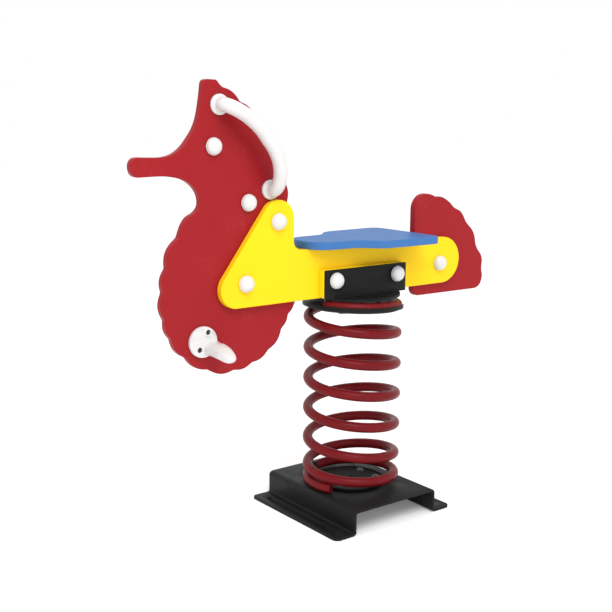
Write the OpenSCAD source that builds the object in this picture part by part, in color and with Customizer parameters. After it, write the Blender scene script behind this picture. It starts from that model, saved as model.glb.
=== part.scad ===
// Spring rider: a seahorse-shaped single seat on a coil spring, for a playground.
// +Z up, the animal faces -X, origin on the spring's axis at ground level.

/* [Panels] */
// Thickness of the plastic panels
panel_t = 15; // [13:1:17]
// Height of the side plates behind the seat
side_h = 98; // [90:1:104]
// Clearance hole radius for the M8 through bolts
hole_r = 4.5; // [4.3:0.1:4.8]

/* [Spring] */
// Radius of the coil's centreline
coil_r = 90; // [88:0.5:91]
// Diameter of the spring wire
wire_d = 20; // [18:0.5:20]
// Rise of one active turn
pitch = 63.5; // [62:0.5:66]

/* [Base] */
// Overall width of the base across the flanges
base_w = 304; // [290:2:320]
// Width over the two webs
base_top_w = 213; // [205:1:220]
// Depth of the base
base_d = 286; // [276:2:300]
// Height of the base's deck
base_h = 50; // [46:1:56]
// Thickness of the bent plate
base_t = 5; // [4:0.5:6]
// Radius of the four ground fixing holes
ground_hole_r = 5.5; // [5:0.5:7]

/* [Bracket] */
// Length of the two upright ears
ear_l = 208; // [200:2:220]
// Thickness of the ears and of the round deck
ear_t = 5; // [4:0.5:5]

/* [Handles and footrests] */
// Diameter of the hand grip
grip_d = 26; // [22:0.5:27]
// Distance of the grip's axis from the body panel's face
grip_off = 42; // [38:1:48]
// Length of a foot peg from its flange
peg_l = 74; // [60:1:80]

/* [Caps] */
// Outer radius of a domed bolt cap
cap_r = 16.2; // [15.8:0.1:16.6]

/* [Hidden] */

wr = wire_d / 2;
turns = 7;              // whole coil, closed turns included
coil_start = -155;      // angle of the top end of the wire
in_p = 18;              // pitch at the top end
in_w = 0.75;            // turns over which the top pitch opens
out_p = 3;              // pitch at the bottom end
out_w = 1.74;           // turns over which the bottom pitch closes
coil_foot = base_h + wr;
coil_k = coil_foot + turns * pitch - (pitch - out_p) * out_w / 2;
coil_top = coil_k - (pitch - in_p) * in_w / 2;
deck_z0 = coil_top + wr;          // underside of the bracket's deck
deck_z = deck_z0 + ear_t;         // top of the deck, where the plates stand
seat_z = deck_z + side_h;         // underside of the seat
deck_r = 95;
zr = base_h - 45;          // rise of the animal with the base
yb = panel_t / 2;                 // body panel face
ys = yb + panel_t;                // side plate face
yp = ys + panel_t;                // spacer face
ye = yp + ear_t;                  // ear face
bolt_r = 4;
m10_r = 4.97;
red = [0.72, 0.17, 0.19];
yellow = [0.99, 0.9, 0.13];
blue = [0.35, 0.55, 0.85];
black = [0.13, 0.13, 0.13];
white = [0.95, 0.95, 0.94];
steel = [0.62, 0.63, 0.65];

// Through bolts: [x, z, face distance from the centre plane]
eye_at = [-334, 740 + zr, yb];
cheek_at = [-260, 637 + zr, yb];
plate_top_at = [-203, deck_z + 155.5, ys];
plate_low_at = [-276, deck_z + 45, ys];
plate_end_at = [218, deck_z + 43.5, ys];
ear_front_at = [-79, deck_z + 35.5, ye];
ear_rear_at = [79, deck_z + 35.5, ye];
BOLTS = [eye_at, cheek_at, plate_top_at, plate_low_at, plate_end_at, ear_front_at, ear_rear_at];
// Handle ends on the body panel: [x, z]
grip_a = [-321, 813 + zr];
grip_b = [-211, 659 + zr];
collar_t = 8;
foot_t = 8;
// Footrest fixings on the body panel: [x, z]
FOOT = [[-353, 407 + zr], [-371, 376 + zr]];
clamp_bolts = [[48, 25], [48, -25], [-48, 25], [-48, -25]];

// ---------- helpers ----------

// Catmull-Rom point between b and c
function cr(a, b, c, d, u) =
  0.5 * (2 * b + (c - a) * u + (2 * a - 5 * b + 4 * c - d) * u * u + (3 * b - a - 3 * c + d) * u * u * u);
// outline raised with the base
function lift(p) = [for (q = p) [q[0], q[1] + zr]];
// open curve through p, n steps a span
function smooth(p, n) = let (m = len(p) - 1)
  [for (i = [0:m - 1]) for (k = [0:n - 1])
    cr(p[max(i - 1, 0)], p[i], p[i + 1], p[min(i + 2, m)], k / n), p[m]];
// closed curve through p
function smooth_ring(p, n) = let (m = len(p))
  [for (i = [0:m - 1]) for (k = [0:n - 1])
    cr(p[(i + m - 1) % m], p[i], p[(i + 1) % m], p[(i + 2) % m], k / n)];
// scallops about a centre: cusps at the given [angle, radius] pairs, each lobe bulging with its width
function scallops(c, q, n, g) = let (m = len(q) - 1)
  [for (i = [0:m - 1]) for (k = [0:n - 1])
    let (u = k / n, a = q[i][0] + (q[i + 1][0] - q[i][0]) * u,
         r = q[i][1] + (q[i + 1][1] - q[i][1]) * u + g * abs(q[i + 1][0] - q[i][0]) * sin(180 * u))
    [c[0] + r * cos(a), c[1] + r * sin(a)]];
function arc(c, r, a0, a1, n) = [for (k = [0:n]) let (a = a0 + (a1 - a0) * k / n) [c[0] + r * cos(a), c[1] + r * sin(a)]];

// upright panel from an [x, z] outline between two distances along Y
module panel(pts, y0, y1) {
  translate([0, y1, 0]) rotate([90, 0, 0]) linear_extrude(y1 - y0) polygon(pts);
}
// cylinder along Y between y0 and y1 at [x, z]
module ycyl(x, z, y0, y1, r, fn = 48) {
  translate([x, y1, z]) rotate([90, 0, 0]) cylinder(r = r, h = y1 - y0, $fn = fn);
}
module hexy(x, z, y0, y1, af) {
  translate([x, y1, z]) rotate([90, 0, 0]) cylinder(r = af / sqrt(3), h = y1 - y0, $fn = 6);
}
module sweep(rings) {
  n = len(rings); m = len(rings[0]);
  polyhedron(
    points = [for (r = rings) for (p = r) p],
    faces = concat(
      [[for (i = [0:m - 1]) i]],
      [[for (i = [m - 1:-1:0]) (n - 1) * m + i]],
      [for (k = [0:n - 2]) for (i = [0:m - 1]) let (j = (i + 1) % m, a = k * m, b = a + m) [a + i, b + i, a + j]],
      [for (k = [0:n - 2]) for (i = [0:m - 1]) let (j = (i + 1) % m, a = k * m, b = a + m) [a + j, b + i, b + j]]));
}
// rectangle with round corners, built from circles
module round_rect(w, d, r) {
  union() {
    square([w - 2 * r, d], center = true);
    square([w, d - 2 * r], center = true);
    for (x = [-1, 1]) for (y = [-1, 1]) translate([x * (w / 2 - r), y * (d / 2 - r)]) circle(r = r, $fn = 48);
  }
}

// ---------- spring ----------

function coil_z(t) = let (s = turns - t)
  t < 0 ? coil_top : t < in_w ? coil_top - in_p * t - (pitch - in_p) * t * t / (2 * in_w)
  : s < out_w ? coil_foot + out_p * s + (pitch - out_p) * s * s / (2 * out_w)
  : coil_k - pitch * t;
function coil_p(t) = let (a = coil_start + 360 * t) [coil_r * cos(a), coil_r * sin(a), coil_z(t)];
function coil_ring(t, ns) =
  let (a = coil_start + 360 * t, e = 0.001, v = coil_p(t + e) - coil_p(t - e), tt = v / norm(v),
       er = [cos(a), sin(a), 0], u = er - (er * tt) * tt, un = u / norm(u), b = cross(tt, un))
  [for (i = [0:ns - 1]) coil_p(t) + wr * (cos(360 * i / ns) * un + sin(360 * i / ns) * b)];
// a stretch of the coil, a hair short at its upper end so that stretches never bite into each other
module coil(t0, t1) {
  n = ceil((t1 - t0) * 22);
  a = t0 > 0 ? t0 + 0.0003 : t0;
  color(red) sweep([for (k = [0:n]) coil_ring(a + (t1 - a) * k / n, 10)]);
}
module spring_top_turn() { coil(-0.03, 0.4); }
module spring_upper_coils() { coil(0.4, 1.35); }
module spring_middle_coils() { coil(1.35, 2.85); }
module spring_lower_coils() { coil(2.85, 5.35); }
module spring_bottom_turn() { coil(5.35, turns); }

// ---------- base ----------

bend_r = 9; // outer radius of the plate's bends
module base_profile() {
  hw = base_top_w / 2; fw = base_w / 2;
  difference() {
    union() {
      translate([-hw + bend_r, base_h - base_t]) square([2 * hw - 2 * bend_r, base_t]);
      for (s = [-1, 1]) scale([s, 1]) {
        translate([hw - base_t, bend_r - base_t]) square([base_t, base_h - 2 * bend_r + base_t]);
        translate([hw - base_t + bend_r, 0]) square([fw - hw + base_t - bend_r, base_t]);
        translate([hw - bend_r, base_h - bend_r]) intersection() {
          difference() { circle(r = bend_r, $fn = 48); circle(r = bend_r - base_t, $fn = 48); }
          square([bend_r, bend_r]);
        }
        translate([hw - base_t + bend_r, bend_r]) intersection() {
          difference() { circle(r = bend_r, $fn = 48); circle(r = bend_r - base_t, $fn = 48); }
          translate([-bend_r, -bend_r]) square([bend_r, bend_r]);
        }
      }
    }
  }
}
module base_plate() {
  color(black) difference() {
    intersection() {
      translate([0, base_d / 2, 0]) rotate([90, 0, 0]) linear_extrude(base_d) base_profile();
      linear_extrude(base_h) round_rect(base_w, base_d, 12);
    }
    for (x = [-1, 1]) for (y = [-1, 1]) translate([x * 130, y * 106, -1]) cylinder(r = ground_hole_r, h = base_t + 2, $fn = 48);
    for (p = clamp_bolts) translate([p[0], p[1], base_h - base_t - 1]) cylinder(r = 5.5, h = base_t + 2, $fn = 48);
  }
}

// ---------- spring clamps ----------

// hooked lug that rises inside the coil and lies over the lowest turn
module clamp_lug(a, top) {
  rotate([0, 0, a]) {
    translate([55, -14, base_h]) cube([23.5, 28, 5]);
    translate([73, -14, base_h]) cube([5.5, 28, top - base_h + 5]);
    translate([73, -14, top]) cube([22, 28, 5]);
  }
}
module lower_clamp_plate() {
  color(black) difference() {
    union() {
      translate([0, 0, base_h]) cylinder(r = 70, h = 5, $fn = 96);
      clamp_lug(128, coil_z(6 + 290 / 360) + wr + 1.2);
    }
    translate([0, 0, base_h - 1]) cylinder(r = 6, h = 7, $fn = 48);
    for (p = clamp_bolts) translate([p[0], p[1], base_h - 1]) cylinder(r = 5.5, h = 7, $fn = 48);
  }
}
module lower_clamp_bolts() {
  color(steel) for (p = clamp_bolts) translate([p[0], p[1], 0]) union() {
    intersection() {
      translate([0, 0, base_h + 5 - 8.2]) sphere(r = 11.8, $fn = 48);
      translate([0, 0, base_h + 5]) cylinder(r = 12, h = 8, $fn = 48);
    }
    translate([0, 0, base_h - base_t - 12]) cylinder(r = m10_r, h = base_t + 5 + 13, $fn = 48);
  }
}
module lower_clamp_nuts() {
  color(steel) for (p = clamp_bolts) translate([p[0], p[1], 0]) difference() {
    union() {
      translate([0, 0, base_h - base_t - 2]) cylinder(r = 10, h = 2, $fn = 48);
      translate([0, 0, base_h - base_t - 10]) cylinder(r = 17 / sqrt(3), h = 8.5, $fn = 6);
    }
    translate([0, 0, base_h - base_t - 11]) cylinder(r = 5, h = 12, $fn = 48);
  }
}
clamp_z = deck_z0 - 18.8;    // middle of the grooved plate
clamp_t = 8;                 // height of its rim
head_z = clamp_z - 5.2;      // flat spots for the bolt heads
// the plate lies along the slope of the first turn
module on_slope() {
  translate([0, 0, clamp_z]) rotate([2.8 * sin(-162), -2.8 * cos(-162), 0]) children();
}
module upper_clamp_plate() {
  color(black) difference() {
    on_slope() union() {
      translate([0, 0, -clamp_t / 2]) cylinder(r = 102.5, h = clamp_t, $fn = 128);
      translate([0, 0, -8]) cylinder(r1 = 93, r2 = 101, h = 4.5, $fn = 128);
    }
    // seat for the first turn of wire
    on_slope() translate([0, 0, 5.4]) rotate([0, 0, 190]) rotate_extrude(angle = 128, $fn = 96)
      translate([coil_r, 0]) circle(r = wr + 0.9, $fn = 48);
    // gap where the wire leaves the plate
    translate([0, 0, clamp_z - 20]) rotate([0, 0, 316])
      rotate_extrude(angle = 142, $fn = 96) translate([coil_r - wr - 1.5, 0]) square([40, 40]);
    translate([0, 0, clamp_z - 20]) cylinder(r = 6, h = 40, $fn = 48);
    for (p = clamp_bolts) translate([p[0], p[1], 0]) union() {
      translate([0, 0, clamp_z - 20]) cylinder(r = 5.5, h = 40, $fn = 48);
      translate([0, 0, head_z - 20]) cylinder(r = 11.5, h = 20, $fn = 48);
    }
  }
}
module upper_clamp_bolts() {
  color(steel) for (p = clamp_bolts) translate([p[0], p[1], 0]) union() {
    translate([0, 0, head_z - 6.4]) cylinder(r = 17 / sqrt(3), h = 6.4, $fn = 6);
    translate([0, 0, head_z - 1]) cylinder(r = m10_r, h = deck_z - head_z, $fn = 48);
  }
}

// ---------- bracket and spacers ----------

ear_top = deck_z + 56.4;
module top_bracket() {
  color(black) difference() {
    union() {
      translate([0, 0, deck_z0]) cylinder(r = deck_r, h = ear_t, $fn = 128);
      for (s = [-1, 1]) translate([-ear_l / 2, s > 0 ? yp : -ye, deck_z - 1]) cube([ear_l, ear_t, ear_top - deck_z + 1]);
    }
    for (b = [ear_front_at, ear_rear_at]) ycyl(b[0], b[1], -ye - 1, ye + 1, hole_r);
    for (p = clamp_bolts) translate([p[0], p[1], deck_z0 - 1]) cylinder(r = 5, h = ear_t + 2, $fn = 48);
  }
}
module spacer(y0, y1) {
  color(yellow) difference() {
    translate([-1, y1, deck_z + 29.1]) rotate([90, 0, 0]) linear_extrude(y1 - y0) round_rect(ear_l + 2, 58.2, 8);
    for (b = [ear_front_at, ear_rear_at]) ycyl(b[0], b[1], y0 - 1, y1 + 1, hole_r);
  }
}
module spacer_near() { spacer(-yp, -ys); }
module spacer_far() { spacer(ys, yp); }

// ---------- plates and panels ----------

function side_outline() = let (z0 = deck_z, z1 = deck_z + side_h, r = side_h / 2) concat(
  arc([-294, z0 + 35], 35, -90, -214.9, 14),
  arc([-200, z0 + 160.5], 35, 145.1, 0, 16),
  arc([-147, z1 + 18], 18, 180, 270, 8),
  arc([229, z0 + r], r, 90, -90, 28));
module side_plate(y0, y1) {
  color(yellow) difference() {
    panel(side_outline(), y0, y1);
    for (b = [plate_top_at, plate_low_at, plate_end_at, ear_front_at, ear_rear_at]) ycyl(b[0], b[1], y0 - 1, y1 + 1, hole_r);
  }
}
module side_plate_near() { side_plate(-ys, -yb); }
module side_plate_far() { side_plate(yb, ys); }

// head from the crest down the face, round the snout and under the chin
head_pts = [[-334, 856], [-347, 856], [-352.5, 851], [-354.5, 838], [-357.5, 818], [-363, 792], [-371, 772], [-382, 756],
  [-398, 738], [-416, 727], [-437, 722.5], [-462, 722.5], [-486, 723], [-494, 718.5], [-497.5, 711], [-497, 702], [-493.5, 694],
  [-486, 689.5], [-470, 689.5], [-440, 690], [-421, 688.5], [-398, 684], [-379, 673.5], [-366.5, 659], [-362, 643], [-364.5, 632],
  [-374, 623], [-386, 617], [-395, 607], [-401, 595], [-406, 581]];
// cusps of the belly: [angle, radius]
belly_c = [-303, 476];
belly = [[138, 148.5], [158, 138], [176, 136], [197, 139], [212, 143], [231, 145.5], [252, 148], [274, 150], [290, 150],
  [306, 150.5], [325, 146], [337, 147], [346, 155]];
// cusps of the mane, from the neck up to the crest
mane_c = [-345, 650];
mane = [[-5, 175], [7, 172], [19, 172], [31, 172], [43, 173], [55, 176], [67.5, 182], [79.5, 196]];
function body_outline() = lift(concat(
  smooth(head_pts, 3),
  scallops(belly_c, belly, 6, 0.26),
  [[-150, 442], [-150, 500], [-152, 530], [-160, 545], [-167, 565], [-167, 625]],
  scallops(mane_c, mane, 6, 0.3),
  arc([-295, 872], 33.5, -119, -151, 4)));
module body_panel() {
  color(red) difference() {
    panel(body_outline(), -yb, yb);
    for (b = [eye_at, cheek_at, plate_top_at, plate_low_at]) ycyl(b[0], b[1], -yb - 1, yb + 1, hole_r);
    for (g = [grip_a, grip_b]) ycyl(g[0], g[1], -yb - 1, yb + 1, hole_r);
    for (f = FOOT) ycyl(f[0], f[1], -yb - 1, yb + 1, 3.5);
  }
}
tail_pts = [[220, 626.5], [234, 627], [248, 621.5], [262, 613], [272, 604], [280, 599.5], [293, 594], [303, 584], [311, 571], [320, 562],
  [333, 550], [341, 535], [345, 518], [352, 506], [362, 495], [367, 482], [366, 468], [366.5, 457], [369, 449], [368, 438],
  [361, 425], [348, 419]];
function tail_outline() = lift(concat(
  smooth(tail_pts, 3),
  arc([174, 436], 16, -90, -180, 8),
  arc([190, 603], 32, 180, 90, 10),
  smooth([[197, 634.5], [208, 632], [220, 626.5]], 3)));
module tail_panel() {
  color(red) difference() {
    panel(tail_outline(), -yb, yb);
    ycyl(plate_end_at[0], plate_end_at[1], -yb - 1, yb + 1, hole_r);
  }
}
module core_block() {
  color(yellow) difference() {
    translate([-100, -yb, deck_z]) cube([200, panel_t, side_h - 4]);
    for (b = [ear_front_at, ear_rear_at]) ycyl(b[0], b[1], -yb - 1, yb + 1, hole_r);
    for (s = [-1, 1]) translate([s * 101, 0, seat_z - 24]) rotate([0, -s * 90, 0]) cylinder(r = 2.2, h = 22, $fn = 24);
  }
}

// ---------- seat ----------

seat_half = [[-133, 14], [-129, 33], [-118, 47], [-98, 55], [-72, 57], [-48, 58.5], [-32, 66], [-18, 80], [-6, 91], [14, 98],
  [44, 99.5], [80, 100.5], [112, 101.5], [134, 100], [145, 90], [148, 72], [148, 40], [148, 14]];
function seat_outline() = smooth_ring(concat(seat_half, [for (i = [len(seat_half) - 1:-1:0]) [seat_half[i][0], -seat_half[i][1]]]), 3);
module seat() {
  color(blue) difference() {
    translate([0, 0, seat_z]) linear_extrude(panel_t) polygon(seat_outline());
    for (s = [-1, 1]) translate([s * 122, 0, seat_z - 1]) cylinder(r = 2.2, h = 12, $fn = 24);
  }
}
module seat_angles() {
  color(steel) for (s = [-1, 1]) scale([s, 1, 1]) difference() {
    union() {
      translate([100, -7, seat_z - 3]) cube([35, 14, 3]);
      translate([100, -7, seat_z - 38]) cube([3, 14, 38]);
    }
    translate([122, 0, seat_z - 4]) cylinder(r = 2.5, h = 5, $fn = 24);
    translate([99, 0, seat_z - 24]) rotate([0, 90, 0]) cylinder(r = 2.5, h = 5, $fn = 24);
  }
}
module seat_screws() {
  color(steel) for (s = [-1, 1]) {
    translate([s * 122, 0, 0]) union() {
      translate([0, 0, seat_z - 6]) cylinder(r = 4.5, h = 3, $fn = 24);
      translate([0, 0, seat_z - 4]) cylinder(r = 2.1, h = 14, $fn = 24);
    }
    translate([s * 106, 0, seat_z - 24]) rotate([0, -s * 90, 0]) union() {
      cylinder(r = 4.5, h = 3, $fn = 24);
      translate([0, 0, 2]) cylinder(r = 2.1, h = 22, $fn = 24);
    }
  }
}

// ---------- handles ----------

grip_l = norm(grip_b - grip_a);
grip_u = (grip_b - grip_a) / grip_l;
grip_n = [-grip_u[1], grip_u[0]];
// point of the grip's axis, f from 0 to 180, on side s (-1 near, 1 far)
function grip_p(f, s) =
  let (c = cos(f), k = 2 / 2.6, al = grip_l / 2 * (1 - sign(c) * pow(abs(c), k)), st = pow(abs(sin(f)), k) * (grip_off - collar_t),
       w = 2 * al / grip_l - 1, bu = (27 + 12 * max(w, 0)) * (1 - w * w))
  [grip_a[0] + grip_u[0] * al + grip_n[0] * bu, s * (yb + collar_t + st), grip_a[1] + grip_u[1] * al + grip_n[1] * bu];
function grip_t(f, s) = f < 2 ? [0, s, 0] : f > 178 ? [0, -s, 0] : let (v = grip_p(f + 1, s) - grip_p(f - 1, s)) v / norm(v);
function grip_ring(f, s) =
  let (t = grip_t(f, s), ref = [grip_n[0], 0, grip_n[1]], u = ref - (ref * t) * t, un = u / norm(u), b = cross(t, un))
  [for (i = [0:13]) grip_p(f, s) + grip_d / 2 * (cos(360 * i / 14) * un + sin(360 * i / 14) * b)];
GRIP_F = [0, 3, 8, 15, 23, 31, 40, 49, 58, 67, 76, 85, 95, 104, 113, 122, 131, 140, 149, 157, 165, 172, 177, 180];
module handle(s) { color(white) sweep([for (f = GRIP_F) grip_ring(f, s)]); }
module handle_near() { handle(-1); }
module handle_far() { handle(1); }
module handle_collars(s) {
  color(white) for (g = [grip_a, grip_b]) difference() {
    union() {
      ycyl(g[0], g[1], s > 0 ? yb : -yb - 5, s > 0 ? yb + 5 : -yb, 18.5);
      ycyl(g[0], g[1], s > 0 ? yb : -yb - collar_t, s > 0 ? yb + collar_t : -yb, 14.5);
    }
    ycyl(g[0], g[1], -yb - collar_t + 1.5, yb + collar_t - 1.5, 4);
  }
}
module handle_collars_near() { handle_collars(-1); }
module handle_collars_far() { handle_collars(1); }
module handle_rods() {
  color(steel) for (g = [grip_a, grip_b]) ycyl(g[0], g[1], -yb - collar_t + 2, yb + collar_t - 2, 3.96);
}

// ---------- footrests ----------

foot_c = [-362, 389.5 + zr];
module foot_flange_2d() { translate(foot_c) circle(r = 29, $fn = 96); }
module footrest(s) {
  y0 = yb + foot_t;
  color(white) difference() {
    union() {
      scale([1, s, 1]) translate([0, y0, 0]) rotate([90, 0, 0]) linear_extrude(foot_t) foot_flange_2d();
      scale([1, s, 1]) hull() {
        translate([-344.5, yb, 376.5 + zr]) rotate([-90, 0, 0]) scale([19, 13, 1]) cylinder(r = 1, h = 20, $fn = 28);
        translate([-347, y0 + peg_l - 38, 376 + zr]) scale([16, 10, 13]) sphere(r = 1, $fn = 20);
        translate([-348.5, y0 + peg_l - 9, 370 + zr]) scale([12, 9, 9]) sphere(r = 1, $fn = 20);
      }
    }
    for (f = FOOT) {
      ycyl(f[0], f[1], -y0 - 1, y0 + 1, 3.5);
      ycyl(f[0], f[1], s > 0 ? y0 - 5.5 : -y0 - 50, s > 0 ? y0 + 50 : -y0 + 5.5, 5);
    }
  }
}
module footrest_near() { footrest(-1); }
module footrest_far() { footrest(1); }
module footrest_bolts() {
  y0 = yb + foot_t;
  color(steel) for (f = FOOT) union() {
    ycyl(f[0], f[1], -y0 + 2.4, -y0 + 5.5, 4.7);
    ycyl(f[0], f[1], y0 - 5.5, y0 - 2.4, 4.7);
    ycyl(f[0], f[1], -y0 + 4, y0 - 4, 3);
  }
}

// ---------- bolts, nuts and caps ----------

module panel_bolts() {
  color(steel) for (b = BOLTS) union() {
    hexy(b[0], b[1], -b[2] - 1.6 - 5.3, -b[2] - 1.6, 13);
    ycyl(b[0], b[1], -b[2] - 3, b[2] + 10.1, bolt_r);
  }
}
module panel_nuts() {
  color(steel) for (b = BOLTS) difference() {
    hexy(b[0], b[1], b[2] + 1.6, b[2] + 8.1, 13);
    ycyl(b[0], b[1], b[2], b[2] + 10, bolt_r + 0.03);
  }
}
module cap_washers() {
  color(white) for (b = BOLTS) for (s = [-1, 1]) difference() {
    ycyl(b[0], b[1], s > 0 ? b[2] : -b[2] - 1.6, s > 0 ? b[2] + 1.6 : -b[2], 13);
    ycyl(b[0], b[1], s > 0 ? b[2] - 1 : -b[2] - 3, s > 0 ? b[2] + 3 : -b[2] + 1, bolt_r + 0.2);
  }
}
module bolt_caps(s) {
  color(white) for (b = BOLTS) translate([b[0], s * b[2], b[1]]) rotate([s > 0 ? -90 : 90, 0, 0]) difference() {
    intersection() {
      translate([0, 0, -1.6]) sphere(r = cap_r, $fn = 64);
      cylinder(r = 20, h = 20, $fn = 48);
    }
    translate([0, 0, -1.6]) sphere(r = cap_r - 1.6, $fn = 64);
  }
}
module bolt_caps_near() { bolt_caps(-1); }
module bolt_caps_far() { bolt_caps(1); }

base_plate();
lower_clamp_plate();
lower_clamp_bolts();
lower_clamp_nuts();
spring_bottom_turn();
spring_lower_coils();
spring_middle_coils();
spring_upper_coils();
spring_top_turn();
upper_clamp_plate();
upper_clamp_bolts();
top_bracket();
spacer_near();
spacer_far();
side_plate_near();
side_plate_far();
body_panel();
tail_panel();
core_block();
seat();
seat_angles();
seat_screws();
handle_near();
handle_far();
handle_collars_near();
handle_collars_far();
handle_rods();
footrest_near();
footrest_far();
footrest_bolts();
panel_bolts();
panel_nuts();
cap_washers();
bolt_caps_near();
bolt_caps_far();
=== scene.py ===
import math
import bpy
import bmesh
import numpy as np
from mathutils import Vector, Matrix


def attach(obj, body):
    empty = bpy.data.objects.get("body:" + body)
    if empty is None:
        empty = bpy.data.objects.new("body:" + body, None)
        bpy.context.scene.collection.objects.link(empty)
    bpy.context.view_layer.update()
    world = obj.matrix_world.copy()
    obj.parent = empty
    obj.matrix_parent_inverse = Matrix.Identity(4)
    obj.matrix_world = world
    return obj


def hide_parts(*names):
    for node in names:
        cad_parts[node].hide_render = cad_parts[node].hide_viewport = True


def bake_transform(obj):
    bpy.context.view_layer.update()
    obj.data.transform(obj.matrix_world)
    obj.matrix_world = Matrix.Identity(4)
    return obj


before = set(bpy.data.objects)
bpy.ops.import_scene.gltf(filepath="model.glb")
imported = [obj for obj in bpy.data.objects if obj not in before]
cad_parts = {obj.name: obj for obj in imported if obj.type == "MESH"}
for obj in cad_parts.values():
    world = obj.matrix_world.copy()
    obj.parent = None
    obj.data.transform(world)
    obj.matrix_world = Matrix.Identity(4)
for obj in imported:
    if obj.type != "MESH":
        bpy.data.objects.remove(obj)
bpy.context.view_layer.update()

MM = 0.001
scene = bpy.context.scene
COL = scene.collection
scene.view_settings.view_transform = "Standard"
scene.view_settings.look = "None"
scene.view_settings.exposure = 0.0
scene.view_settings.gamma = 1.0


# ---------------------------------------------------------------- dimensions, in mm, as in the design
PANEL_T = 15.0
ZR = 5.0
YB = PANEL_T / 2
YS = YB + PANEL_T
YP = YS + PANEL_T
YE = YP + 5.0
COIL_R, WR, PITCH, TURNS = 90.0, 10.0, 63.5, 7.0
IN_P, IN_W, OUT_P, OUT_W = 18.0, 0.75, 3.0, 1.74
COIL_FOOT = 60.0
COIL_K = COIL_FOOT + TURNS * PITCH - (PITCH - OUT_P) * OUT_W / 2
COIL_TOP = COIL_K - (PITCH - IN_P) * IN_W / 2
DECK_Z0 = COIL_TOP + WR
DECK_Z = DECK_Z0 + 5.0
SIDE_H = 98.0
SEAT_Z = DECK_Z + SIDE_H
CLAMP_BOLTS = [(48, 25), (48, -25), (-48, 25), (-48, -25)]
EYE = (-334, 740 + ZR, YB)
CHEEK = (-260, 637 + ZR, YB)
P_TOP = (-203, DECK_Z + 155.5, YS)
P_LOW = (-276, DECK_Z + 45, YS)
P_END = (218, DECK_Z + 43.5, YS)
E_FR = (-79, DECK_Z + 35.5, YE)
E_RE = (79, DECK_Z + 35.5, YE)
BOLTS = [EYE, CHEEK, P_TOP, P_LOW, P_END, E_FR, E_RE]
GRIP_A, GRIP_B = (-321.0, 813.0 + ZR), (-211.0, 659.0 + ZR)
FOOT = [(-353.0, 407.0 + ZR), (-371.0, 376.0 + ZR)]


# ---------------------------------------------------------------- outlines
def cr(a, b, c, d, u):
    return 0.5 * (2 * b + (c - a) * u + (2 * a - 5 * b + 4 * c - d) * u * u + (3 * b - a - 3 * c + d) * u ** 3)


def smooth(p, n):
    p = [np.array(q, float) for q in p]
    m = len(p) - 1
    out = []
    for i in range(m):
        for k in range(n):
            out.append(cr(p[max(i - 1, 0)], p[i], p[i + 1], p[min(i + 2, m)], k / n))
    out.append(p[m])
    return out


def smooth_ring(p, n):
    p = [np.array(q, float) for q in p]
    m = len(p)
    return [cr(p[(i - 1) % m], p[i], p[(i + 1) % m], p[(i + 2) % m], k / n) for i in range(m) for k in range(n)]


def scallops(c, q, n, g):
    out = []
    for i in range(len(q) - 1):
        for k in range(n):
            u = k / n
            a = math.radians(q[i][0] + (q[i + 1][0] - q[i][0]) * u)
            r = q[i][1] + (q[i + 1][1] - q[i][1]) * u + g * abs(q[i + 1][0] - q[i][0]) * math.sin(math.pi * u)
            out.append(np.array([c[0] + r * math.cos(a), c[1] + r * math.sin(a)]))
    return out


def arc(c, r, a0, a1, n):
    return [np.array([c[0] + r * math.cos(math.radians(a0 + (a1 - a0) * k / n)),
                      c[1] + r * math.sin(math.radians(a0 + (a1 - a0) * k / n))]) for k in range(n + 1)]


HEAD = [[-334, 856], [-347, 856], [-352.5, 851], [-354.5, 838], [-357.5, 818], [-363, 792], [-371, 772], [-382, 756], [-398, 738],
        [-416, 727], [-437, 722.5], [-462, 722.5], [-486, 723], [-494, 718.5], [-497.5, 711], [-497, 702], [-493.5, 694],
        [-486, 689.5], [-470, 689.5], [-440, 690], [-421, 688.5], [-398, 684], [-379, 673.5], [-366.5, 659], [-362, 643],
        [-364.5, 632], [-374, 623], [-386, 617], [-395, 607], [-401, 595], [-406, 581]]
BELLY_C = (-303, 476)
BELLY = [[138, 148.5], [158, 138], [176, 136], [197, 139], [212, 143], [231, 145.5], [252, 148], [274, 150], [290, 150],
        [306, 150.5], [325, 146], [337, 147], [346, 155]]
MANE_C = (-345, 650)
MANE = [[-5, 175], [7, 172], [19, 172], [31, 172], [43, 173], [55, 176], [67.5, 182], [79.5, 196]]
TAIL = [[220, 626.5], [234, 627], [248, 621.5], [262, 613], [272, 604], [280, 599.5], [293, 594], [303, 584], [311, 571],
        [320, 562], [333, 550], [341, 535], [345, 518], [352, 506], [362, 495], [367, 482], [366, 468], [366.5, 457], [369, 449],
        [368, 438], [361, 425], [348, 419]]
SEAT_HALF = [[-133, 14], [-129, 33], [-118, 47], [-98, 55], [-72, 57], [-48, 58.5], [-32, 66], [-18, 80], [-6, 91], [14, 98],
        [44, 99.5], [80, 100.5], [112, 101.5], [134, 100], [145, 90], [148, 72], [148, 40], [148, 14]]


def lift(p):
    return [np.array([q[0], q[1] + ZR]) for q in p]


def body_outline():
    return lift(smooth(HEAD, 8) + scallops(BELLY_C, BELLY, 18, 0.26)
            + [np.array(p, float) for p in [[-150, 442], [-150, 500], [-152, 530], [-160, 545], [-167, 565], [-167, 625]]]
            + scallops(MANE_C, MANE, 18, 0.3) + arc((-295, 872), 33.5, -119, -151, 10))


def tail_outline():
    return lift(smooth(TAIL, 8) + arc((174, 436), 16, -90, -180, 14) + arc((190, 603), 32, 180, 90, 20)
                + smooth([[197, 634.5], [208, 632], [220, 626.5]], 8))


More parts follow.
